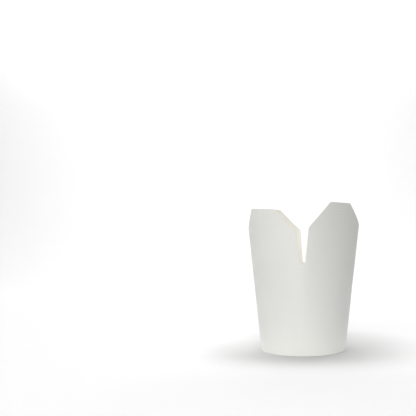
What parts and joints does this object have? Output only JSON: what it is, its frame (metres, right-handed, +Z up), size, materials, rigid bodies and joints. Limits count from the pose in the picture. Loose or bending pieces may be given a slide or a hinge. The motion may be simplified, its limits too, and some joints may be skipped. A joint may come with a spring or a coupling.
{
  "type": "noodle takeaway box",
  "caption": "Empty round-bottomed paperboard noodle box with a gently flared wall and hinged lid flaps standing open around slits.",
  "frame": {"origin": "centre of the round base, on the surface that the box stands on", "axes": "+Z up along the box's axis; the front slit between two flaps faces -Y and the glued seam is at +Y"},
  "size_m": [0.1083, 0.1082, 0.1408],
  "materials": {
    "white_board": "white coated paperboard, faint satin",
    "inner_board": "off-white film-lined paperboard, matt"
  },
  "bodies": {
    "cup": {"wall": "white_board", "base": "inner_board"},
    "front_right_lid": {"flap_front_right": "white_board"},
    "back_right_lid": {"flap_back_right": "white_board"},
    "back_left_lid": {"flap_back_left": "white_board"},
    "front_left_lid": {"flap_front_left": "white_board"}
  },
  "joints": [
    {"name": "front_right_fold", "type": "hinge", "parent": "cup", "child": "front_right_lid", "pos_m": [0.02611, -0.02611, 0.085], "axis": [-0.7071, -0.7071, 0], "range_deg": [0, 90]},
    {"name": "back_left_fold", "type": "hinge", "parent": "cup", "child": "back_left_lid", "pos_m": [-0.0256, 0.0256, 0.085], "axis": [0.7071, 0.7071, 0], "range_deg": [0, 98]},
    {"name": "front_left_fold", "type": "hinge", "parent": "cup", "child": "front_left_lid", "pos_m": [-0.02608, -0.02608, 0.085], "axis": [-0.7071, 0.7071, 0], "range_deg": [0, 70]},
    {"name": "back_right_fold", "type": "hinge", "parent": "cup", "child": "back_right_lid", "pos_m": [0.02558, 0.02558, 0.085], "axis": [0.7071, -0.7071, 0], "range_deg": [0, 60]}
  ]
}
